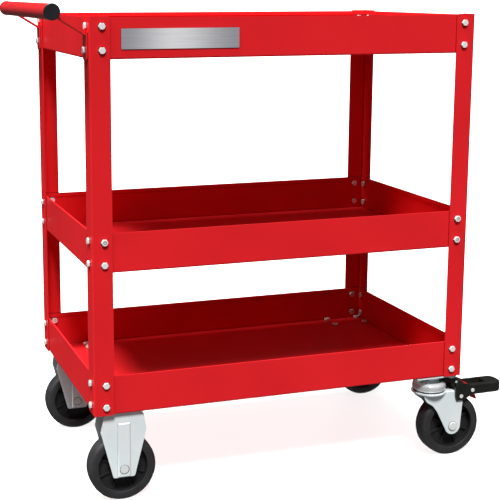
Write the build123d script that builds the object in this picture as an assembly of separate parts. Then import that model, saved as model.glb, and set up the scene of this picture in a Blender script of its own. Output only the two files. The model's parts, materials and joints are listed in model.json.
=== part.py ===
from build123d import *
import math
import os

os.makedirs("parts", exist_ok=True)

# Three-tray tool cart, millimetres, +Z up. The origin is on the floor, in the middle of the
# cart's outer box. The handle is at the -X end and the braked swivel casters at the +X end.

# ---- driving dimensions: frame ----
FRAME_L = 762.0  # over the posts, along X
FRAME_W = 460.0  # over the posts, along Y
POST_H = 725.0
POST_T = 2.5
FACE_LEG = 38.0  # the angle's leg on the long side
END_LEG = 42.0  # the angle's leg on the short side
POST_ROUND = 4.0
TRAY_H = 73.0
TRAY_T = 1.5
TRAY_HEM = 8.0
TRAY_BEND = 3.0
TRAY_LIFTS = {"lower": 0.0, "middle": 267.0, "upper": 650.0}  # tray base above the posts' feet

# ---- driving dimensions: fasteners ----
BOLT_R = 3.1
BOLT_HOLE_R = 3.3
BOLT_HEAD_AF = 11.1
BOLT_HEAD_H = 4.4
NUT_H = 5.4
BOLT_SHY = 1.0  # how far a bolt's end stops inside its nut
BOLT_END_EASE = 0.6
HEX_EASE = 0.9  # how far a hexagon's corners are rounded back at its face
FACE_BOLT_IN = 22.5  # from the cart's end to the bolts on the long side
END_BOLT_IN = 22.0  # from the cart's side to the bolts on the short side
BOLT_ROWS = (16.0, 58.0)  # above each tray's base

# ---- driving dimensions: handle and name plate ----
TUBE_R = 14.3
TUBE_WALL = 1.8
TUBE_OUT = 64.0  # tube axis beyond the posts' outer faces
TUBE_ABOVE = 8.0  # tube axis above the posts' tops
CAP_R = 14.8
CAP_T = 4.0
CAP_PLUG = 18.0
BRACKET_T = 3.2
BRACKET_W = 26.0
BRACKET_FOOT = 648.0  # bracket's lower edge above the posts' feet
BRACKET_BEND = 694.0  # where the bracket turns outwards
BEND_IN_R = 3.0
CAP_EASE = 1.6
BRACKET_FOOT_R = 5.0
PLATE_L = 220.0
PLATE_H = 36.0
PLATE_T = 1.5
PLATE_FROM_END = 58.0
PLATE_UP = 17.5  # above the upper tray's base
PLATE_ROUND = 1.5

# ---- driving dimensions: wheels ----
WHEEL_R = 64.5
WHEEL_W = 36.0
TREAD_IN_R = 51.3
SHOULDER_R = 7.0
RIM_IN = 2.0  # rim's edge inside the tyre's side
RIM_T = 4.0
WEB_T = 6.0
RIB_COUNT = 8
RIB_T = 2.6
RIB_IN = 9.0  # ribs' edges inside the rim's edge
HUB_R = 13.0
BUSH_R = 7.5
AXLE_R = 5.0
AXLE_HEAD_R = 9.0
AXLE_HEAD_T = 2.6
AXLE_NUT_AF = 15.0
AXLE_NUT_H = 6.0

# ---- driving dimensions: casters ----
AXLE_BELOW = 112.0  # axle under the casters' top plates
CASTER_IN = 35.0  # caster centre line from the cart's side
FIXED_IN = 58.0  # rigid casters' centre from the handle end
SWIVEL_IN = 51.0  # swivel axis from the far end
TRAIL = 44.0  # axle behind the swivel axis
PAD_T = 3.0
PAD_ROUND = 6.0
PAD_SIZE = {"rigid": (80.0, 49.0), "swivel": (92.0, 64.0)}
PAD_BOLTS = {"rigid": (62.0, 27.0), "swivel": (76.0, 44.0)}  # bolt spacing along X and Y
PAD_BOLT_R = 3.9
PAD_HOLE_R = 4.1
PAD_HEAD_AF = 12.7
LEG_T = 3.0
LEG_IN = 21.5  # inner face of a fork leg from the wheel's middle
RIB_HALF = 12.5  # raised strip on a rigid leg
RIB_RISE = 2.8
RUN_FIT = 0.05
GAP = 0.3

# ---- driving dimensions: swivel head, depths below the top plate's upper face ----
RACE_R = 34.0
RACE_TOP_DEPTH = 16.0
RACE_LOW_DEPTH = 36.0
RACE_ROLL = 8.5
BOSS_R = 20.0
BOSS_DEPTH = 26.0
SKIRT_OUT = 9.0
SKIRT_H = 8.0
BALL_R = 3.0
BALL_COUNT = 18
BALL_DEPTH = 22.0
KING_R = 6.0
KING_HEAD_R = 10.0
KING_HEAD_T = 3.0
CROWN_R = 35.5
CROWN_T = 3.0
CROWN_PAST_AXLE = 21.0  # crown's far end from the axle
LEG_BOSS_R = 17.0  # rounded lower end of a swivel fork's leg

# ---- driving dimensions: brake ----
PEDAL_REACH = 160.0  # pedal's tip from the swivel axis
PEDAL_SWING = 16.0  # degrees
PEDAL_HALF = 21.5
PEDAL_TOP_DEPTH = 28.5
PEDAL_LOW_DEPTH = 51.0
PEDAL_TIP_R = 15.0
PEDAL_EASE = 4.0
SLOT_HALF = 13.0
SLOT_END = 124.0  # pedal window's far end from the swivel axis
PIN_FROM_AXIS = 85.0
PIN_DEPTH = 37.5
PIN_R = 2.5
PIN_HEAD_R = 4.0
PIN_HEAD_T = 1.5
EYE_R = 8.0  # rounded plastic round the pedal's pin
RIVET_FROM_AXIS = 59.0
RIVET_DEPTH = 48.0
CHEEK_T = 3.4
HOUSING_START = 47.0
HOUSING_END = 67.0
HOUSING_TOP_DEPTH = 22.0
HOUSING_LOW_DEPTH = 57.0
ARM_HALF = 22.0
ARM_START = 23.0
ARM_PIN_AT = 50.0
ARM_PIN_DEPTH = 18.0
ARM_PIN_R = 1.6
ARM_PIN_HEAD_R = 2.8
ARM_PIN_HEAD_T = 1.2
LEVER_HALF = 9.5
LEVER_EYE_R = 6.0
SHOE_T = 2.5
SHOE_GAP = 0.4  # between the shoe and the tyre with the pedal down

# ---- places worked out from them ----
FEET = WHEEL_R + AXLE_BELOW  # posts' feet and casters' top plates above the floor
OVER_LEFT = TUBE_OUT + CAP_R
OVER_RIGHT = PEDAL_REACH - SWIVEL_IN
LEFT = (OVER_LEFT - OVER_RIGHT - FRAME_L) / 2
RIGHT = LEFT + FRAME_L
FRONT = -FRAME_W / 2
BACK = FRAME_W / 2
TUBE_X = LEFT - TUBE_OUT
TUBE_Z = FEET + POST_H + TUBE_ABOVE
CASTER_X = {"rigid": LEFT + FIXED_IN, "swivel": RIGHT - SWIVEL_IN}
CASTER_Y = {"front": FRONT + CASTER_IN, "rear": BACK - CASTER_IN}
LEG_OUT = LEG_IN + LEG_T
RACE_TOP = FEET - RACE_TOP_DEPTH
RACE_LOW = FEET - RACE_LOW_DEPTH
CROWN_Z = RACE_LOW - GAP  # top of the fork's crown
CROWN_LOW = CROWN_Z - CROWN_T
BALL_CIRCLE = BOSS_R + BALL_R + GAP
PIN_Z = FEET - PIN_DEPTH
RIVET_Z = FEET - RIVET_DEPTH
CHEEK_IN = LEG_OUT + GAP
CHEEK_OUT = CHEEK_IN + CHEEK_T
HOUSING_TOP = FEET - HOUSING_TOP_DEPTH
HOUSING_LOW = FEET - HOUSING_LOW_DEPTH
ARM_PIN_Z = FEET - ARM_PIN_DEPTH
THROUGH = 2 * CHEEK_OUT  # long enough to cut right through a caster


# ---- shared shapes ----
def block(x0, x1, y0, y1, z0, z1):
    size = Box(x1 - x0, y1 - y0, z1 - z0)
    return Pos((x0 + x1) / 2, (y0 + y1) / 2, (z0 + z1) / 2) * size


def rod_z(x, y, z0, z1, r):
    return Pos(x, y, (z0 + z1) / 2) * Cylinder(r, z1 - z0)


def rod_y(x, z, y0, y1, r):
    return Pos(x, (y0 + y1) / 2, z) * Rot(90, 0, 0) * Cylinder(r, y1 - y0)


def slab_y(points, y0, y1):
    """A closed outline of (x, z) points, made solid from y0 to y1."""
    face = make_face(Polyline([(x, 0, z) for x, z in points], close=True))
    return Pos(0, y1, 0) * extrude(face, amount=y1 - y0, dir=(0, -1, 0))


def hexagon(width, height):
    """A hexagonal prism standing on the XY plane, its outer corners eased."""
    prism = extrude(RegularPolygon(width / 2, 6, major_radius=False), height)
    corner_r = width / math.sqrt(3)
    ease = Pos(0, 0, height) * Cone(
        corner_r + height, corner_r - HEX_EASE, height, align=(Align.CENTER, Align.CENTER, Align.MAX)
    )
    return prism & ease


def aim(axis):
    """Turns +Z to one of the directions +X, -X, +Y, -Y, +Z, -Z."""
    turns = {
        "+X": (0, 90),
        "-X": (0, -90),
        "+Y": (-90, 0),
        "-Y": (90, 0),
        "+Z": (0, 0),
        "-Z": (180, 0),
    }
    about_x, about_y = turns[axis]
    return Rot(about_x, about_y, 0)


def bolt(at, out, grip, radius=BOLT_R, head_af=BOLT_HEAD_AF, nut_h=NUT_H):
    """A hex bolt with its head's underside at a point, and its shank the other way."""
    reach = grip + nut_h - BOLT_SHY
    shank = Pos(0, 0, -reach / 2) * Cylinder(radius, reach)
    shank = chamfer(shank.edges().group_by(Axis.Z)[0], BOLT_END_EASE)
    return Pos(*at) * aim(out) * (hexagon(head_af, BOLT_HEAD_H) + shank)


def nut(at, out, grip, radius=BOLT_R, head_af=BOLT_HEAD_AF, nut_h=NUT_H):
    """The nut on such a bolt, on the far side of what the bolt grips."""
    ring = hexagon(head_af, nut_h) - Cylinder(radius + RUN_FIT, 3 * nut_h)
    return Pos(*at) * aim(out) * (Pos(0, 0, -grip) * Rot(180, 0, 0) * ring)


def face_fixing(tray_name, row, end, side):
    """A bolt through a post's leg on the long side and the tray's wall behind it."""
    x = LEFT + FACE_BOLT_IN if end < 0 else RIGHT - FACE_BOLT_IN
    y = FRONT if side < 0 else BACK
    z = FEET + TRAY_LIFTS[tray_name] + row
    grip = POST_T + TRAY_T
    outwards, inwards = ("-Y", "+Y") if side < 0 else ("+Y", "-Y")
    from_inside = tray_name == "middle" and (end > 0 or row == BOLT_ROWS[-1])
    if from_inside:
        return (x, y - side * grip, z), inwards, grip
    return (x, y, z), outwards, grip


def end_fixing(tray_name, row, end, side):
    """A bolt through a post's leg on the short side; the lower upper-tray ones also hold the handle."""
    holds_bracket = end < 0 and tray_name == "upper" and row == BOLT_ROWS[0]
    held = BRACKET_T if holds_bracket else 0.0
    x = (LEFT if end < 0 else RIGHT) + end * held
    y = FRONT + END_BOLT_IN if side < 0 else BACK - END_BOLT_IN
    z = FEET + TRAY_LIFTS[tray_name] + row
    return (x, y, z), "-X" if end < 0 else "+X", POST_T + TRAY_T + held


def tray_fixings():
    """Every tray bolt: its head's seat, the way the head faces and the thickness gripped."""
    corners = [(end, side) for end in (-1, 1) for side in (-1, 1)]
    return [
        fixing(tray_name, row, end, side)
        for tray_name in TRAY_LIFTS
        for row in BOLT_ROWS
        for end, side in corners
        for fixing in (face_fixing, end_fixing)
    ]


def bolt_holes():
    holes = Part()
    for (x, y, z), out, grip in tray_fixings():
        through = Cylinder(BOLT_HOLE_R, 4 * grip)
        holes += Pos(x, y, z) * aim(out) * through
    return holes


def pad_bolt_places(kind, y):
    along, across = PAD_BOLTS[kind]
    return [
        (CASTER_X[kind] + end * along / 2, y + side * across / 2)
        for end in (-1, 1)
        for side in (-1, 1)
    ]


def pad_fixings():
    """Every caster bolt, fitted from below: the casters' places, the same form as tray_fixings."""
    return [
        ((x, y, FEET - PAD_T), "-Z", PAD_T + TRAY_T, PAD_BOLT_R, PAD_HEAD_AF)
        for kind in CASTER_X
        for caster_y in CASTER_Y.values()
        for x, y in pad_bolt_places(kind, caster_y)
    ]


# ---- frame ----
def post(end, side, holes):
    """One angle post. end is -1 at the handle, 1 at the far end; side is -1 at the front."""
    x = LEFT if end < 0 else RIGHT
    y = FRONT if side < 0 else BACK
    top = FEET + POST_H
    xs = sorted((x, x - end * FACE_LEG))
    ys = sorted((y, y - side * POST_T))
    face = block(*xs, *ys, FEET, top)
    free = face.edges().filter_by(Axis.Y).sort_by(Axis.X)
    face = fillet(free[-2:] if end < 0 else free[:2], POST_ROUND)
    xs = sorted((x, x - end * POST_T))
    ys = sorted((y, y - side * END_LEG))
    wing = block(*xs, *ys, FEET, top)
    free = wing.edges().filter_by(Axis.X).sort_by(Axis.Y)
    wing = fillet(free[-2:] if side < 0 else free[:2], POST_ROUND)
    angle = face + wing
    outwards = lambda edge: -end * edge.center().X - side * edge.center().Y
    ridge = angle.edges().filter_by(Axis.Z).sort_by(outwards)
    return fillet(ridge[0], POST_T * 0.8) - holes


def tray(lift, holes):
    """A pressed tray: floor, four walls and a hem folded inwards round the top."""
    base = FEET + lift
    x0, x1 = LEFT + POST_T, RIGHT - POST_T
    y0, y1 = FRONT + POST_T, BACK - POST_T
    outer = block(x0, x1, y0, y1, base, base + TRAY_H)
    outer = fillet(outer.edges().filter_by(Axis.Z), TRAY_BEND)
    outer = fillet(outer.edges().group_by(Axis.Z)[0], TRAY_BEND)
    hem_z = base + TRAY_H - TRAY_HEM
    well = block(x0 + TRAY_T, x1 - TRAY_T, y0 + TRAY_T, y1 - TRAY_T, base + TRAY_T, hem_z)
    well = fillet(well.edges().filter_by(Axis.Z), TRAY_BEND - TRAY_T)
    well = fillet(well.edges().group_by(Axis.Z)[0], TRAY_BEND - TRAY_T)
    hem = 2 * TRAY_T + 0.2
    mouth = block(x0 + hem, x1 - hem, y0 + hem, y1 - hem, hem_z - 1, base + TRAY_H + 1)
    return outer - well - mouth - holes


def caster_holes():
    holes = Part()
    for (x, y, z), *_ in pad_fixings():
        holes += rod_z(x, y, z - PAD_T, z + 2 * (PAD_T + TRAY_T), PAD_HOLE_R)
    return holes


# ---- handle and plate ----
def handle_tube():
    y0, y1 = FRONT + CAP_T, BACK - CAP_T
    bore = rod_y(TUBE_X, TUBE_Z, FRONT, BACK, TUBE_R - TUBE_WALL)
    return rod_y(TUBE_X, TUBE_Z, y0, y1, TUBE_R) - bore


def handle_cap(side):
    end = FRONT if side < 0 else BACK
    inner = end - side * CAP_T
    head = rod_y(TUBE_X, TUBE_Z, min(end, inner), max(end, inner), CAP_R)
    rim = head.edges().filter_by(GeomType.CIRCLE).sort_by(Axis.Y)
    head = fillet(rim[0] if side < 0 else rim[-1], CAP_EASE)
    deep = inner - side * CAP_PLUG
    return head + rod_y(TUBE_X, TUBE_Z, min(inner, deep), max(inner, deep), TUBE_R - TUBE_WALL)


def handle_bracket(side, holes):
    """A flat bar: a tab bolted to the post, bent outwards and up to the tube."""
    knee = FEET + BRACKET_BEND
    run = TUBE_X - LEFT
    rise = TUBE_Z - knee
    length = math.hypot(run, rise)
    half_turn = math.atan2(-run, rise) / 2
    under = (TUBE_X - rise / length * BRACKET_T, TUBE_Z + run / length * BRACKET_T)
    outline = [
        (LEFT, FEET + BRACKET_FOOT),
        (LEFT, knee),
        (TUBE_X, TUBE_Z),
        under,
        (LEFT - BRACKET_T, knee - BRACKET_T * math.tan(half_turn)),
        (LEFT - BRACKET_T, FEET + BRACKET_FOOT),
    ]
    middle = FRONT + END_BOLT_IN if side < 0 else BACK - END_BOLT_IN
    bar = slab_y(outline, middle - BRACKET_W / 2, middle + BRACKET_W / 2)
    bends = bar.edges().filter_by(Axis.Y).sort_by(lambda e: abs(e.center().Z - knee))
    outside, inside = sorted(bends[:2], key=lambda e: -e.center().X)
    bar = fillet(outside, BEND_IN_R + BRACKET_T)
    inside = bar.edges().filter_by(Axis.Y).sort_by(lambda e: (e.center() - inside.center()).length)[0]
    bar = fillet(inside, BEND_IN_R)
    foot = bar.edges().filter_by(Axis.X).group_by(Axis.Z)[0]
    bar = fillet(foot, BRACKET_FOOT_R)
    return bar - rod_y(TUBE_X, TUBE_Z, FRONT, BACK, TUBE_R) - holes


def name_plate():
    x0 = LEFT + PLATE_FROM_END
    z0 = FEET + TRAY_LIFTS["upper"] + PLATE_UP
    y_wall = FRONT + POST_T
    plate = block(x0, x0 + PLATE_L, y_wall - PLATE_T, y_wall, z0, z0 + PLATE_H)
    return fillet(plate.edges().filter_by(Axis.Y), PLATE_ROUND)


# ---- wheels ----
def tyre(x, y):
    ring = rod_y(x, WHEEL_R, y - WHEEL_W / 2, y + WHEEL_W / 2, WHEEL_R)
    ring = fillet(ring.edges().filter_by(GeomType.CIRCLE), SHOULDER_R)
    return ring - rod_y(x, WHEEL_R, y - WHEEL_W, y + WHEEL_W, TREAD_IN_R)


def core(x, y):
    """The moulded wheel centre: rim, web, radial ribs both sides and hub."""
    rim_half = WHEEL_W / 2 - RIM_IN
    rib_half = rim_half - RIB_IN
    hub_half = LEG_IN - 1.0
    body = rod_y(x, WHEEL_R, y - rim_half, y + rim_half, TREAD_IN_R)
    body -= rod_y(x, WHEEL_R, y - WHEEL_W, y + WHEEL_W, TREAD_IN_R - RIM_T)
    body += rod_y(x, WHEEL_R, y - WEB_T / 2, y + WEB_T / 2, TREAD_IN_R - RIM_T / 2)
    for n in range(RIB_COUNT):
        rib = block(HUB_R / 2, TREAD_IN_R - RIM_T / 2, -rib_half, rib_half, -RIB_T / 2, RIB_T / 2)
        body += Pos(x, y, WHEEL_R) * Rot(0, 360 / RIB_COUNT * (n + 0.5), 0) * rib
    body += rod_y(x, WHEEL_R, y - hub_half, y + hub_half, HUB_R)
    return body - rod_y(x, WHEEL_R, y - WHEEL_W, y + WHEEL_W, BUSH_R)


def axle_bore(x, y):
    return rod_y(x, WHEEL_R, y - THROUGH, y + THROUGH, AXLE_R + RUN_FIT)


def bush(x, y):
    half = LEG_IN - GAP
    return rod_y(x, WHEEL_R, y - half, y + half, BUSH_R) - axle_bore(x, y)


def axle(x, y, out):
    """An axle bolt. Its low round head is on the -Y side where out is -1, the +Y side where it is 1."""
    seat = y + out * LEG_OUT
    face = seat + out * AXLE_HEAD_T
    head = rod_y(x, WHEEL_R, min(seat, face), max(seat, face), AXLE_HEAD_R)
    rim = head.edges().filter_by(GeomType.CIRCLE).sort_by(Axis.Y)
    head = fillet(rim[0] if out < 0 else rim[-1], CAP_EASE)
    end = y - out * (LEG_OUT + AXLE_NUT_H - BOLT_SHY)
    return head + rod_y(x, WHEEL_R, min(seat, end), max(seat, end), AXLE_R)


def axle_nut(x, y, out):
    ring = hexagon(AXLE_NUT_AF, AXLE_NUT_H) - Cylinder(AXLE_R + RUN_FIT, 3 * AXLE_NUT_H)
    return Pos(x, y - out * LEG_OUT, WHEEL_R) * aim("+Y" if out < 0 else "-Y") * ring


# ---- casters ----
def pad(kind, x, y):
    """A caster's top plate."""
    length, width = PAD_SIZE[kind]
    plate = block(x - length / 2, x + length / 2, y - width / 2, y + width / 2, FEET - PAD_T, FEET)
    return fillet(plate.edges().filter_by(Axis.Z), PAD_ROUND)


def fork_legs(outline, y):
    """Both legs of a fork from one outline of (x, z) points."""
    return [
        slab_y(outline, *sorted((y + side * LEG_IN, y + side * LEG_OUT)))
        for side in (-1, 1)
    ]


def rigid_fork(x, y, holes):
    """Top plate and two legs in one pressing, each leg stiffened by a raised rib."""
    top_half, shoulder, toe = 38.0, 44.0, 20.5
    clip_z, shoulder_z, toe_z = FEET - 6.0, FEET - 37.0, WHEEL_R - 16.0
    half = [
        (top_half - PAD_ROUND, FEET - PAD_T / 2),
        (top_half, clip_z),
        (shoulder, shoulder_z),
        (toe, toe_z),
    ]
    outline = [(x + u, z) for u, z in half] + [(x - u, z) for u, z in reversed(half)]
    fork = pad("rigid", x, y)
    for side, leg in zip((-1, 1), fork_legs(outline, y)):
        leg = fillet(leg.edges().filter_by(Axis.Y).group_by(Axis.Z)[0], 4.0)
        fork += leg + leg_rib(x, y + side * LEG_OUT, side, toe_z)
    for side in (-1, 1):
        face = y + side * LEG_OUT
        seat = sorted((face, face + side * 2 * RIB_RISE))
        fork -= rod_y(x, WHEEL_R, *seat, AXLE_HEAD_R + GAP)
    return fork - axle_bore(x, y) - holes


def leg_rib(x, face, side, toe_z):
    """The raised strip down the middle of a rigid leg, with sloping edges."""
    low, high = toe_z + 2.5, FEET - 21.0
    rib = block(x - RIB_HALF, x + RIB_HALF, *sorted((face, face + side * RIB_RISE)), low, high)
    crown = rib.faces().sort_by(Axis.Y)[0 if side < 0 else -1]
    edges = crown.edges().filter_by(Axis.Z) + [crown.edges().sort_by(Axis.Z)[-1]]
    return chamfer(edges, RIB_RISE * 0.9)


def swivel_plate(x, y, holes):
    """Top plate with the pressed boss that carries the inside of the ball race."""
    boss = rod_z(x, y, FEET - BOSS_DEPTH, FEET - PAD_T, BOSS_R)
    skirt = Pos(x, y, FEET - PAD_T) * Cone(
        BOSS_R, BOSS_R + SKIRT_OUT, SKIRT_H, align=(Align.CENTER, Align.CENTER, Align.MAX)
    )
    bore = rod_z(x, y, FEET - 2 * BOSS_DEPTH, FEET + PAD_T, KING_R)
    return pad("swivel", x, y) + boss + skirt - bore - holes


def ball_race(x, y):
    """The bright ring round the balls, its outside rolled to a soft bulge."""
    ring = rod_z(x, y, RACE_LOW, RACE_TOP, RACE_R)
    ring = fillet(ring.edges().filter_by(GeomType.CIRCLE), RACE_ROLL)
    return ring - rod_z(x, y, RACE_LOW - 1, RACE_TOP + 1, BALL_CIRCLE + BALL_R + GAP)


def race_balls(x, y):
    """The ring of loose balls between the plate's boss and the race."""
    balls = []
    for n in range(BALL_COUNT):
        turn = 2 * math.pi * n / BALL_COUNT
        across, along = BALL_CIRCLE * math.cos(turn), BALL_CIRCLE * math.sin(turn)
        balls.append(Pos(x + across, y + along, FEET - BALL_DEPTH) * Sphere(BALL_R))
    return Compound(children=balls)


def kingpin(x, y):
    """The rivet that holds the fork to the top plate."""
    head_top = CROWN_LOW - GAP
    head = rod_z(x, y, head_top - KING_HEAD_T, head_top, KING_HEAD_R)
    return head + rod_z(x, y, head_top, FEET, KING_R)


def swivel_fork(x, y):
    """Crown and two legs. Each leg sweeps down from the crown to the axle, behind the swivel axis."""
    axle_x = x + TRAIL
    crown_end = axle_x + CROWN_PAST_AXLE
    crown = rod_z(x, y, CROWN_LOW, CROWN_Z, CROWN_R)
    crown += block(x, crown_end, y - LEG_OUT, y + LEG_OUT, CROWN_LOW, CROWN_Z)
    boss_left, boss_right = math.radians(208), math.radians(-4)
    outline = [
        (x - 25.0, CROWN_Z),
        (x - 25.0, CROWN_LOW),
        (x - 18.0, FEET - 54.0),
        (x - 3.0, FEET - 64.0),
        (x + 7.0, FEET - 77.0),
        (axle_x + LEG_BOSS_R * math.cos(boss_left), WHEEL_R + LEG_BOSS_R * math.sin(boss_left)),
        (axle_x + LEG_BOSS_R * math.cos(boss_right), WHEEL_R + LEG_BOSS_R * math.sin(boss_right)),
        (crown_end, FEET - 64.0),
        (crown_end, CROWN_Z),
    ]
    fork = crown
    for leg in fork_legs(outline, y):
        corners = [e for e in leg.edges().filter_by(Axis.Y) if x - 19 < e.center().X < x + 8]
        fork += fillet(corners, 9.0)
    for side in (-1, 1):
        fork += rod_y(axle_x, WHEEL_R, *sorted((y + side * LEG_IN, y + side * LEG_OUT)), LEG_BOSS_R)
    on_top = fork.edges().filter_by(Axis.X).group_by(Axis.Z)[-1]
    fork = fillet([e for e in on_top if abs(abs(e.center().Y - y) - LEG_OUT) < GAP], 2.4)
    return fork - axle_bore(axle_x, y) - rod_z(x, y, WHEEL_R, FEET, KING_R + RUN_FIT)


# ---- brake ----
def brake_housing(x, y):
    """The black moulding over the fork's crown: two cheeks, a bridge and the sloping locking arm."""
    pin_x = x + PIN_FROM_AXIS
    start, end = x + HOUSING_START, x + HOUSING_END
    cheek_outline = [
        (start, HOUSING_TOP),
        (start, HOUSING_LOW + 12.0),
        (start + 2.0, HOUSING_LOW),
        (end, HOUSING_LOW),
        (pin_x + 5.0, PIN_Z - 6.0),
        (pin_x + 4.0, PIN_Z + 7.0),
        (end + 1.0, HOUSING_TOP),
    ]
    shell = block(start, end, y - CHEEK_OUT, y + CHEEK_OUT, CROWN_Z + GAP, HOUSING_TOP)
    for side in (-1, 1):
        y_in, y_out = sorted((y + side * CHEEK_IN, y + side * CHEEK_OUT))
        cheek = slab_y(cheek_outline, y_in, y_out) + rod_y(pin_x, PIN_Z, y_in, y_out, EYE_R)
        shell += fillet(cheek.edges().filter_by(Axis.Y).group_by(Axis.Z)[0], 3.0)
    arm_low = RACE_TOP + GAP + 0.2
    arm_outline = [
        (x + ARM_START, arm_low),
        (x + ARM_START, arm_low + 5.0),
        (start - 1.0, arm_low + 5.0),
        (end + 1.0, HOUSING_TOP + 0.5),
        (end + 1.0, HOUSING_TOP - 8.0),
        (start + 1.0, HOUSING_TOP - 11.0),
        (x + RACE_R + 3.0, arm_low),
    ]
    shell += slab_y(arm_outline, y - ARM_HALF, y + ARM_HALF)
    shell -= rod_y(pin_x, PIN_Z, y - THROUGH, y + THROUGH, PIN_R)
    shell -= rod_y(x + RIVET_FROM_AXIS, RIVET_Z, y - THROUGH, y + THROUGH, PIN_R)
    return shell - rod_y(x + ARM_PIN_AT, ARM_PIN_Z, y - THROUGH, y + THROUGH, ARM_PIN_R)


def headed_pin(x, z, y, half, radius, head_r, head_t):
    """A pin across the caster, with a head at each end."""
    pin = rod_y(x, z, y - half, y + half, radius)
    for side in (-1, 1):
        pin += rod_y(x, z, *sorted((y + side * half, y + side * (half + head_t))), head_r)
    return pin


def brake_pins(x, y):
    """The pedal's pin, two rivets to the fork's legs and the arm's small pin."""
    pins = [
        headed_pin(x + PIN_FROM_AXIS, PIN_Z, y, CHEEK_OUT, PIN_R, PIN_HEAD_R, PIN_HEAD_T),
        headed_pin(x + ARM_PIN_AT, ARM_PIN_Z, y, ARM_HALF, ARM_PIN_R, ARM_PIN_HEAD_R, ARM_PIN_HEAD_T),
    ]
    rivet = headed_pin(x + RIVET_FROM_AXIS, RIVET_Z, y, CHEEK_OUT, PIN_R, PIN_HEAD_R, PIN_HEAD_T)
    between_legs = block(x, x + PEDAL_REACH, y - LEG_OUT, y + LEG_OUT, WHEEL_R, FEET)
    pins += (rivet - between_legs).solids()
    return Compound(children=pins)


def pin_bore(x, y):
    return rod_y(x + PIN_FROM_AXIS, PIN_Z, y - THROUGH, y + THROUGH, PIN_R + RUN_FIT)


def brake_pedal(x, y):
    """The foot pedal: a rounded block with a window through it, and an eye round the pin."""
    top, low = FEET - PEDAL_TOP_DEPTH, FEET - PEDAL_LOW_DEPTH
    tip, pin_x = x + PEDAL_REACH, x + PIN_FROM_AXIS
    pedal = block(pin_x, tip, y - PEDAL_HALF, y + PEDAL_HALF, low, top)
    pedal = fillet(pedal.edges().filter_by(Axis.Z).sort_by(Axis.X)[-2:], PEDAL_TIP_R)
    levels = pedal.faces().sort_by(Axis.Z)
    rims = levels[-1].edges().sort_by(Axis.X)[1:] + levels[0].edges().sort_by(Axis.X)[1:]
    pedal = fillet(rims, PEDAL_EASE)
    pedal += rod_y(pin_x, PIN_Z, y - PEDAL_HALF, y + PEDAL_HALF, EYE_R)
    slot = block(pin_x - 12, x + SLOT_END, y - SLOT_HALF, y + SLOT_HALF, low - 1, top + 1)
    pedal -= fillet(slot.edges().filter_by(Axis.Z).sort_by(Axis.X)[-2:], 3.0)
    return pedal - pin_bore(x, y)


def brake_shoe(x, y):
    """The steel shoe under the pedal's pin that bears on the tyre when the pedal is down."""
    pin_x = x + PIN_FROM_AXIS
    beside, above = PIN_FROM_AXIS - TRAIL, PIN_Z - WHEEL_R
    length = math.hypot(beside, above) - WHEEL_R - SHOE_GAP
    turn = math.atan2(beside, above) - math.radians(PEDAL_SWING)
    tip_x, tip_z = pin_x - length * math.sin(turn), PIN_Z - length * math.cos(turn)
    ears = [(pin_x - 6, PIN_Z + 4), (pin_x + 5, PIN_Z + 4), (tip_x + 5, tip_z + 1), (tip_x, tip_z)]
    shoe = slab_y(ears, y - SLOT_HALF, y + SLOT_HALF)
    between = SLOT_HALF - SHOE_T
    shoe -= block(tip_x - 9, pin_x + 9, y - between, y + between, tip_z + 4.5, PIN_Z + 5)
    return shoe - pin_bore(x, y)


def release_lever(x, y):
    """The red rocker on the pedal's pin: its upper end is the release, its lower end a finger tab."""
    pin_x = x + PIN_FROM_AXIS
    outline = [
        (pin_x - 10, PIN_Z + 12),
        (pin_x - 14, PIN_Z + 8),
        (pin_x - 3, PIN_Z - 6),
        (pin_x + 9, PIN_Z - 23),
        (pin_x + 23, PIN_Z - 29),
        (pin_x + 12, PIN_Z - 4),
        (pin_x + 4, PIN_Z + 3),
    ]
    lever = slab_y(outline, y - LEVER_HALF, y + LEVER_HALF)
    lever += rod_y(pin_x, PIN_Z, y - LEVER_HALF, y + LEVER_HALF, LEVER_EYE_R)
    return lever - pin_bore(x, y)


# ---- build every node ----
nodes = {}
bolt_drill = bolt_holes()
pad_drill = caster_holes()

for end_name, end in (("left", -1), ("right", 1)):
    for side_name, side in (("front", -1), ("rear", 1)):
        nodes[f"{side_name}_{end_name}_post"] = post(end, side, bolt_drill)
for tray_name, lift in TRAY_LIFTS.items():
    nodes[f"{tray_name}_tray"] = tray(lift, bolt_drill)
nodes["lower_tray"] -= pad_drill

for use, fixings in (("tray", tray_fixings()), ("caster", pad_fixings())):
    nodes[f"{use}_bolts"] = Compound(children=[bolt(*fixing) for fixing in fixings])
    nodes[f"{use}_nuts"] = Compound(children=[nut(*fixing) for fixing in fixings])

nodes["handle_tube"] = handle_tube()
for side_name, side in (("front", -1), ("rear", 1)):
    nodes[f"handle_cap_{side_name}"] = handle_cap(side)
    nodes[f"handle_bracket_{side_name}"] = handle_bracket(side, bolt_drill)
nodes["name_plate"] = name_plate()

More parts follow.
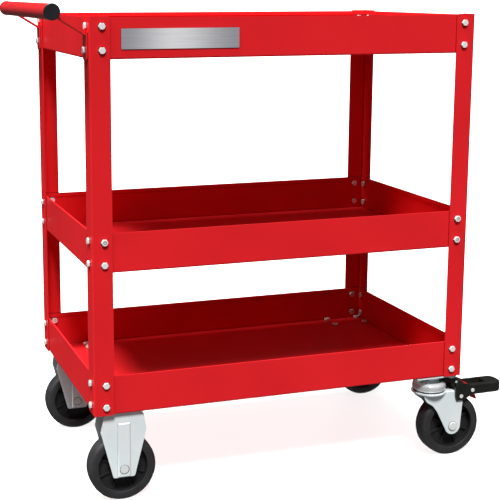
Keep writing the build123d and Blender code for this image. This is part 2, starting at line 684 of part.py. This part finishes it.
for side_name, out in (("front", -1), ("rear", 1)):
    y = CASTER_Y[side_name]
    for kind, wheel_x in (("rigid", CASTER_X["rigid"]), ("swivel", CASTER_X["swivel"] + TRAIL)):
        nodes[f"{side_name}_{kind}_tyre"] = tyre(wheel_x, y)
        nodes[f"{side_name}_{kind}_wheel_core"] = core(wheel_x, y)
        nodes[f"{side_name}_{kind}_bush"] = bush(wheel_x, y)
    nodes[f"{side_name}_rigid_fork"] = rigid_fork(CASTER_X["rigid"], y, pad_drill)
    nodes[f"{side_name}_swivel_axle"] = axle(CASTER_X["swivel"] + TRAIL, y, out)
    nodes[f"{side_name}_swivel_axle_nut"] = axle_nut(CASTER_X["swivel"] + TRAIL, y, out)

    x = CASTER_X["swivel"]
    nodes[f"{side_name}_swivel_plate"] = swivel_plate(x, y, pad_drill)
    for part_name, make in (
        ("ball_race", ball_race),
        ("race_balls", race_balls),
        ("kingpin", kingpin),
        ("swivel_fork", swivel_fork),
        ("brake_housing", brake_housing),
        ("brake_pins", brake_pins),
        ("brake_pedal", brake_pedal),
        ("brake_shoe", brake_shoe),
        ("release_lever", release_lever),
    ):
        nodes[f"{side_name}_{part_name}"] = make(x, y)

# Both rigid axles have their heads on the cart's front side.
rigid_places = [(CASTER_X["rigid"], y, -1) for y in CASTER_Y.values()]
nodes["rigid_axles"] = Compound(children=[axle(*place) for place in rigid_places])
nodes["rigid_axle_nuts"] = Compound(children=[axle_nut(*place) for place in rigid_places])

for name, solid in nodes.items():
    export_step(solid, f"parts/{name}.step")
print(len(nodes), "nodes written")
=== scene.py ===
import json
import math

import bmesh
import bpy
from mathutils import Euler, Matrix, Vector


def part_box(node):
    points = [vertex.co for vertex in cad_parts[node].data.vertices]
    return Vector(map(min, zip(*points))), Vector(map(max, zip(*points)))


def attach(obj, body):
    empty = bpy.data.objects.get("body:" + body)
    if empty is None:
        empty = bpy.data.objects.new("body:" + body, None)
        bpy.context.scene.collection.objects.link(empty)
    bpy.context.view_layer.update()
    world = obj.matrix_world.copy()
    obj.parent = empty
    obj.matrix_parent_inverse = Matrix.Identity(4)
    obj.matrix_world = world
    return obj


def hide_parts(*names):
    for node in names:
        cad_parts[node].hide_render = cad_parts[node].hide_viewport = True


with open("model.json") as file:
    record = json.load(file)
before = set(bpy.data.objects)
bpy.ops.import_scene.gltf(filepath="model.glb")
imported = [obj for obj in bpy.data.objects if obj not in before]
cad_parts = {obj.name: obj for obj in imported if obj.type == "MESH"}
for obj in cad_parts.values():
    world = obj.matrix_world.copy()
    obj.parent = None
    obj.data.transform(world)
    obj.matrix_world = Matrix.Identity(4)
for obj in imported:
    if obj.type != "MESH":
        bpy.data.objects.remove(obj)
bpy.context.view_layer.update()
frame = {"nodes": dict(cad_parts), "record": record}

MM = 0.001

# ---- camera: fitted to the photo, placed from the front left post's lowest corner ----
SENSOR = 36.0  # millimetres, as is the lens
LENS = 84.54
SHIFT = (0.12, -0.11)
YAW = math.radians(18.361)
PITCH = math.radians(9.889)
CAMERA_FROM_CORNER = Vector((-0.4787, -1.9961, 0.7692))

# ---- light ----
SUNS = [  # (name, where it comes from, strength)
    ("front_sun", Vector((-0.14, -0.56, 0.82)), 3.5),
    ("left_sun", Vector((-0.42, -0.02, 0.91)), 3.8),
]
BACK_FILL = ("back_fill", Vector((0.48, 0.87, 0.10)), 0.9)
FLOOR_FILL = ("floor_fill", Vector((0.0, 0.0, 1.0)), 3.2)
SUN_SPREAD = math.radians(15)
STUDIO = [  # (height of the direction, from -1 straight down to 1 straight up; brightness)
    (-1.0, 0.6),
    (-0.65, 0.35),
    (-0.35, 0.05),
    (0.20, 0.06),
    (0.55, 0.12),
    (1.0, 0.30),
]
BACKDROP = 1.0  # what the camera sees beyond the floor
FLOOR_REACH = 400.0
FLOOR_GREYS = (0.84, 0.86)

# ---- what the finishes share ----
NOISE_EDGES = (0.3, 0.7)  # nearly all of a noise lies between them
PAINTED_SHADE_REACH = 3 * MM  # how near another surface has to be for the painted shade to darken a finish
PAINTED_SHADE_EDGES = (0.55, 0.90)  # how open a spot is where the painted shade is darkest, and where it is clear
FINE_GRAIN = 0.01 * MM
CART_RED = (0.82, 0.020, 0.026)


# ---- helpers for colours and node trees ----
def grey(level):
    return (level,) * 3


def shade(colour, factor):
    return tuple(c * factor for c in colour)


class Graph:
    """A material's node tree, with short calls for the nodes that the finishes share."""

    def __init__(self, name):
        self.material = bpy.data.materials.new(name)
        self.material.use_nodes = True
        self.nodes = self.material.node_tree.nodes
        self.links = self.material.node_tree.links
        self.shader = self.nodes["Principled BSDF"]

    def add(self, kind, **settings):
        node = self.nodes.new(kind)
        for key, value in settings.items():
            setattr(node, key, value)
        return node

    def link(self, start, end):
        self.links.new(start, end)

    def noise(self, size, detail=3.0, stretch=(1.0, 1.0, 1.0)):
        """Noise whose features are about size metres across, longer along the stretched axes."""
        place = self.add("ShaderNodeTexCoord")
        mapping = self.add("ShaderNodeMapping")
        mapping.inputs["Scale"].default_value = [1.0 / (size * s) for s in stretch]
        texture = self.add("ShaderNodeTexNoise")
        texture.inputs["Scale"].default_value = 1.0
        texture.inputs["Detail"].default_value = detail
        self.link(place.outputs["Object"], mapping.inputs["Vector"])
        self.link(mapping.outputs["Vector"], texture.inputs["Vector"])
        return texture.outputs["Fac"]

    def colours(self, fac, low, high, edges=NOISE_EDGES):
        """A colour that runs from low to high as fac passes the two edges."""
        ramp = self.add("ShaderNodeValToRGB")
        first, last = ramp.color_ramp.elements
        first.position, last.position = edges
        first.color, last.color = (*low, 1.0), (*high, 1.0)
        self.link(fac, ramp.inputs["Fac"])
        return ramp.outputs["Color"]

    def multiply(self, first, second):
        mix = self.add("ShaderNodeMix", data_type="RGBA", blend_type="MULTIPLY")
        mix.inputs["Factor"].default_value = 1.0
        self.link(first, mix.inputs["A"])
        self.link(second, mix.inputs["B"])
        return mix.outputs["Result"]

    def painted_shade(self, dark):
        """A grey factor that falls from 1 to dark in seams and round what stands on a surface:
        painted shade, from ambient occlusion.
        """
        nearness = self.add("ShaderNodeAmbientOcclusion", samples=8)
        nearness.inputs["Distance"].default_value = PAINTED_SHADE_REACH
        return self.colours(nearness.outputs["AO"], grey(dark), grey(1.0), PAINTED_SHADE_EDGES)

    def values(self, fac, low, high, edges=NOISE_EDGES):
        """A number that runs from low to high as fac passes the two edges."""
        span = self.add("ShaderNodeMapRange")
        span.inputs["From Min"].default_value, span.inputs["From Max"].default_value = edges
        span.inputs["To Min"].default_value = low
        span.inputs["To Max"].default_value = high
        self.link(fac, span.inputs["Value"])
        return span.outputs["Result"]

    def bump(self, height, depth):
        """A bump of the given depth in metres."""
        node = self.add("ShaderNodeBump")
        node.inputs["Distance"].default_value = depth
        self.link(height, node.inputs["Height"])
        return node.outputs["Normal"]

    def finish(self, colour=None, roughness=None, normal=None, **constants):
        """Links what varies over the surface, sets the constants and gives the material."""
        if colour is not None:
            self.link(colour, self.shader.inputs["Base Color"])
        if roughness is not None:
            self.link(roughness, self.shader.inputs["Roughness"])
        if normal is not None:
            self.link(normal, self.shader.inputs["Normal"])
        for key, value in constants.items():
            self.shader.inputs[key.replace("_", " ")].default_value = value
        return self.material


# ---- finishes ----
def paint(name, colour, gloss):
    """Powder coat: faint orange peel, slow drift in colour and gloss, and painted shade in seams
    and round what stands on it.
    """
    g = Graph(name)
    drift = g.noise(0.18)
    peel = g.noise(0.0022, detail=2.0)
    drifting = g.colours(drift, shade(colour, 0.93), shade(colour, 1.05))
    return g.finish(
        colour=g.multiply(drifting, g.painted_shade(0.30)),
        roughness=g.values(g.noise(0.05), 0.28, 0.34),
        normal=g.bump(peel, FINE_GRAIN),
        Specular_IOR_Level=gloss,
        Coat_Weight=gloss,
        Coat_Roughness=0.08,
    )


def zinc(name, low, high, roughness, metallic):
    """Blue-white zinc plating on steel: cloudy tint, fine drawing lines, painted shade in the
    hollows.
    """
    g = Graph(name)
    cloud = g.noise(0.035, detail=4.0)
    grain = g.noise(0.0009, detail=2.0, stretch=(1.0, 1.0, 9.0))
    return g.finish(
        colour=g.multiply(g.colours(cloud, low, high), g.painted_shade(0.04)),
        roughness=g.values(g.noise(0.012), roughness - 0.06, roughness + 0.06),
        normal=g.bump(grain, FINE_GRAIN),
        Metallic=metallic,
    )


def brushed(name, dull, bright):
    """Silver finish brushed along X, with a painted reflection: bright in the middle of the piece
    and duller to its ends.
    """
    g = Graph(name)
    lines = g.noise(0.0004, detail=3.0, stretch=(150.0, 1.0, 1.0))
    along = g.add("ShaderNodeSeparateXYZ")
    g.link(g.add("ShaderNodeTexCoord").outputs["Generated"], along.inputs["Vector"])
    # painted reflection: light across the middle of the plate, darker towards its ends
    painted_sheen = g.add("ShaderNodeValToRGB")
    painted_sheen.color_ramp.interpolation = "EASE"
    stops = painted_sheen.color_ramp.elements
    stops.new(0.45)
    for stop, colour in zip(stops, (dull, bright, dull)):
        stop.color = (*colour, 1.0)
    g.link(along.outputs["X"], painted_sheen.inputs["Fac"])
    return g.finish(
        colour=g.multiply(painted_sheen.outputs["Color"], g.colours(lines, grey(0.84), grey(1.0))),
        roughness=g.values(lines, 0.24, 0.38),
        normal=g.bump(lines, FINE_GRAIN),
        Metallic=0.15,
    )


def polished(name, colour):
    """Bright plating with a faint uneven haze."""
    g = Graph(name)
    haze = g.noise(0.01)
    return g.finish(
        colour=g.colours(haze, shade(colour, 0.94), colour),
        roughness=g.values(haze, 0.08, 0.18),
        Metallic=0.40,
    )


def rubber(name, colour):
    """Dull rubber: fine pitting under a faint grey bloom."""
    g = Graph(name)
    pits = g.noise(0.0007, detail=4.0)
    bloom = g.noise(0.03)
    return g.finish(
        colour=g.colours(bloom, shade(colour, 0.8), shade(colour, 1.35)),
        roughness=g.values(bloom, 0.48, 0.62),
        normal=g.bump(pits, 0.05 * MM),
        Specular_IOR_Level=0.45,
    )


def moulded(name, colour, roughness, grain=0.04 * MM):
    """Moulded nylon with a fine spark-eroded grain."""
    g = Graph(name)
    texture = g.noise(0.0006, detail=3.0)
    drift = g.noise(0.02)
    return g.finish(
        colour=g.colours(drift, shade(colour, 0.85), shade(colour, 1.15)),
        roughness=g.values(drift, roughness - 0.05, roughness + 0.05),
        normal=g.bump(texture, grain),
    )


FINISHES = {
    "red_paint": paint("red_paint", CART_RED, 0.03),
    "handle_paint": paint("handle_paint", CART_RED, 0.20),
    "black_plastic": moulded("black_plastic", (0.015, 0.015, 0.018), 0.35),
    "plate_metal": brushed("plate_metal", (0.42, 0.42, 0.46), (0.98, 0.98, 1.0)),
    "zinc_fasteners": zinc("zinc_fasteners", (0.88, 0.92, 0.91), (0.97, 0.98, 0.95), 0.20, 0.10),
    "zinc_plate": zinc("zinc_plate", (0.86, 0.97, 1.0), (0.98, 1.0, 1.0), 0.34, 0.05),
    "bright_race": polished("bright_race", (0.90, 0.91, 0.92)),
    "tyre_rubber": rubber("tyre_rubber", (0.026, 0.026, 0.028)),
    "wheel_plastic": moulded("wheel_plastic", (0.016, 0.016, 0.017), 0.55),
    "brake_plastic": moulded("brake_plastic", (0.014, 0.015, 0.012), 0.34),
    "release_red": moulded("release_red", (0.85, 0.020, 0.035), 0.25, FINE_GRAIN),
}


# ---- the CAD nodes: finishes, smooth shading and eased edges ----
EDGE_EASE = {
    "red_paint": 0.5 * MM,
    "handle_paint": 0.4 * MM,
    "zinc_plate": 0.5 * MM,
    "zinc_fasteners": 0.3 * MM,
    "plate_metal": 0.2 * MM,
    "wheel_plastic": 0.6 * MM,
    "brake_plastic": 1.2 * MM,
    "release_red": 0.6 * MM,
    "black_plastic": 0.3 * MM,
}
SHARP = math.radians(32)


def smooth(mesh):
    mesh.shade_smooth()
    mesh.set_sharp_from_angle(angle=SHARP)


def dress(node, slot):
    """Gives a CAD node its finish, smooth shading between sharp edges, and eased edges."""
    body = frame["nodes"][node]
    for place in body.material_slots:
        place.material = FINISHES[slot]
    smooth(body.data)
    if slot in EDGE_EASE:
        ease = body.modifiers.new("eased_edges", "BEVEL")
        ease.width = EDGE_EASE[slot]
        ease.segments = 2
        ease.limit_method = "ANGLE"
        ease.angle_limit = SHARP
        ease.harden_normals = True


for part in frame["record"]["subparts"]:
    dress(part["node"], part["material_slot"])


# ---- wheels: tread and sidewalls ----
TREAD_PROFILE = [  # (share of the radius, share of the half width), from the bore outwards
    (0.797, 0.893),
    (0.741, 0.893),
    (0.735, 0.920),
    (0.743, 0.955),
    (0.775, 0.980),
    (0.835, 1.000),
    (0.885, 0.990),
    (0.925, 0.965),
    (0.955, 0.920),
    (0.977, 0.850),
    (0.991, 0.740),
    (0.998, 0.560),
    (1.000, 0.300),
    (1.000, 0.035),
    (0.997, 0.015),
]
TURNS = 128


def lathe(name, centre, profile):
    """A ring about the Y axis through centre, from (radius, y) points that close on themselves."""
    shape = bmesh.new()
    rings = []
    for step in range(TURNS):
        angle = 2 * math.pi * step / TURNS
        ring = []
        for radius, across in profile:
            spot = Vector((radius * math.cos(angle), across, radius * math.sin(angle)))
            ring.append(shape.verts.new(centre + spot))
        rings.append(ring)
    for step in range(TURNS):
        here, there = rings[step], rings[(step + 1) % TURNS]
        for k in range(len(profile)):
            after = (k + 1) % len(profile)
            shape.faces.new((here[k], there[k], there[after], here[after]))
    bmesh.ops.recalc_face_normals(shape, faces=shape.faces)
    mesh = bpy.data.meshes.new(name)
    shape.to_mesh(mesh)
    shape.free()
    smooth(mesh)
    piece = bpy.data.objects.new(name, mesh)
    bpy.context.scene.collection.objects.link(piece)
    return piece


def dress_tyre(side, kind):
    """The tread that stands for a CAD tyre: crowned, lipped over the rim, with a parting line."""
    node = f"{side}_{kind}_tyre"
    low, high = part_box(node)
    centre, size = (low + high) / 2, high - low
    radius, half = size.z / 2, size.y / 2
    right = [(radius * r, half * w) for r, w in TREAD_PROFILE]
    left = [(r, -w) for r, w in reversed(right)]
    tread = lathe(f"{node}_tread", centre, right + left)
    tread.data.materials.append(FINISHES["tyre_rubber"])
    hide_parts(node)
    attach(tread, f"{side}_{kind}_wheel")


for side in ("front", "rear"):
    for kind in ("rigid", "swivel"):
        dress_tyre(side, kind)


# ---- floor, light and camera ----
def make_floor():
    mesh = bpy.data.meshes.new("floor")
    signs = ((-1, -1), (1, -1), (1, 1), (-1, 1))
    corners = [(x * FLOOR_REACH, y * FLOOR_REACH, 0.0) for x, y in signs]
    mesh.from_pydata(corners, [], [(0, 1, 2, 3)])
    floor = bpy.data.objects.new("floor", mesh)
    bpy.context.scene.collection.objects.link(floor)
    g = Graph("floor")
    low, high = FLOOR_GREYS
    mesh.materials.append(g.finish(g.colours(g.noise(0.8), grey(low), grey(high)), Roughness=0.7))
    floor.visible_glossy = False
    floor.visible_diffuse = False
    return floor


def make_sun(name, comes_from, strength):
    sun = bpy.data.objects.new(name, bpy.data.lights.new(name, "SUN"))
    sun.data.energy = strength
    sun.data.angle = SUN_SPREAD
    sun.rotation_euler = comes_from.to_track_quat("Z", "Y").to_euler()
    bpy.context.scene.collection.objects.link(sun)
    return sun


def make_light(floor):
    """Two soft suns, a low fill from behind, and a shadowless fill that reaches only the floor."""
    for sun in SUNS:
        make_sun(*sun)
    make_sun(*BACK_FILL).visible_glossy = False
    fill = make_sun(*FLOOR_FILL)
    lit = bpy.data.collections.new("lit_by_floor_fill")
    lit.objects.link(floor)
    fill.light_linking.receiver_collection = lit
    fill.data.use_shadow = False


def make_studio():
    """The room round the cart, graded by height, and a plain backdrop for the camera alone."""
    world = bpy.data.worlds.new("studio")
    world.use_nodes = True
    tree = world.node_tree
    background = tree.nodes["Background"]
    place = tree.nodes.new("ShaderNodeTexCoord")
    axes = tree.nodes.new("ShaderNodeSeparateXYZ")
    height = tree.nodes.new("ShaderNodeMapRange")
    height.inputs["From Min"].default_value = -1.0
    ramp = tree.nodes.new("ShaderNodeValToRGB")
    stops = ramp.color_ramp.elements
    while len(stops) < len(STUDIO):
        stops.new(0.5)
    for stop, (level, brightness) in zip(stops, STUDIO):
        stop.position = (level + 1) / 2
        stop.color = (*grey(brightness), 1.0)
    seen = tree.nodes.new("ShaderNodeLightPath")
    choice = tree.nodes.new("ShaderNodeMix")
    choice.data_type = "RGBA"
    choice.inputs["B"].default_value = (*grey(BACKDROP), 1.0)
    tree.links.new(place.outputs["Generated"], axes.inputs["Vector"])
    tree.links.new(axes.outputs["Z"], height.inputs["Value"])
    tree.links.new(height.outputs["Result"], ramp.inputs["Fac"])
    tree.links.new(ramp.outputs["Color"], choice.inputs["A"])
    tree.links.new(seen.outputs["Is Camera Ray"], choice.inputs["Factor"])
    tree.links.new(choice.outputs["Result"], background.inputs["Color"])
    bpy.context.scene.world = world


def make_camera():
    camera = bpy.data.objects.new("camera", bpy.data.cameras.new("camera"))
    camera.data.lens = LENS
    camera.data.sensor_width = SENSOR
    camera.data.shift_x, camera.data.shift_y = SHIFT
    camera.data.clip_end = 2 * FLOOR_REACH
    camera.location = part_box("front_left_post")[0] + CAMERA_FROM_CORNER
    camera.rotation_euler = Euler((math.pi / 2 - PITCH, 0.0, -YAW))
    bpy.context.scene.collection.objects.link(camera)
    bpy.context.scene.camera = camera


make_light(make_floor())
make_studio()
make_camera()
bpy.context.scene.view_settings.view_transform = "Standard"
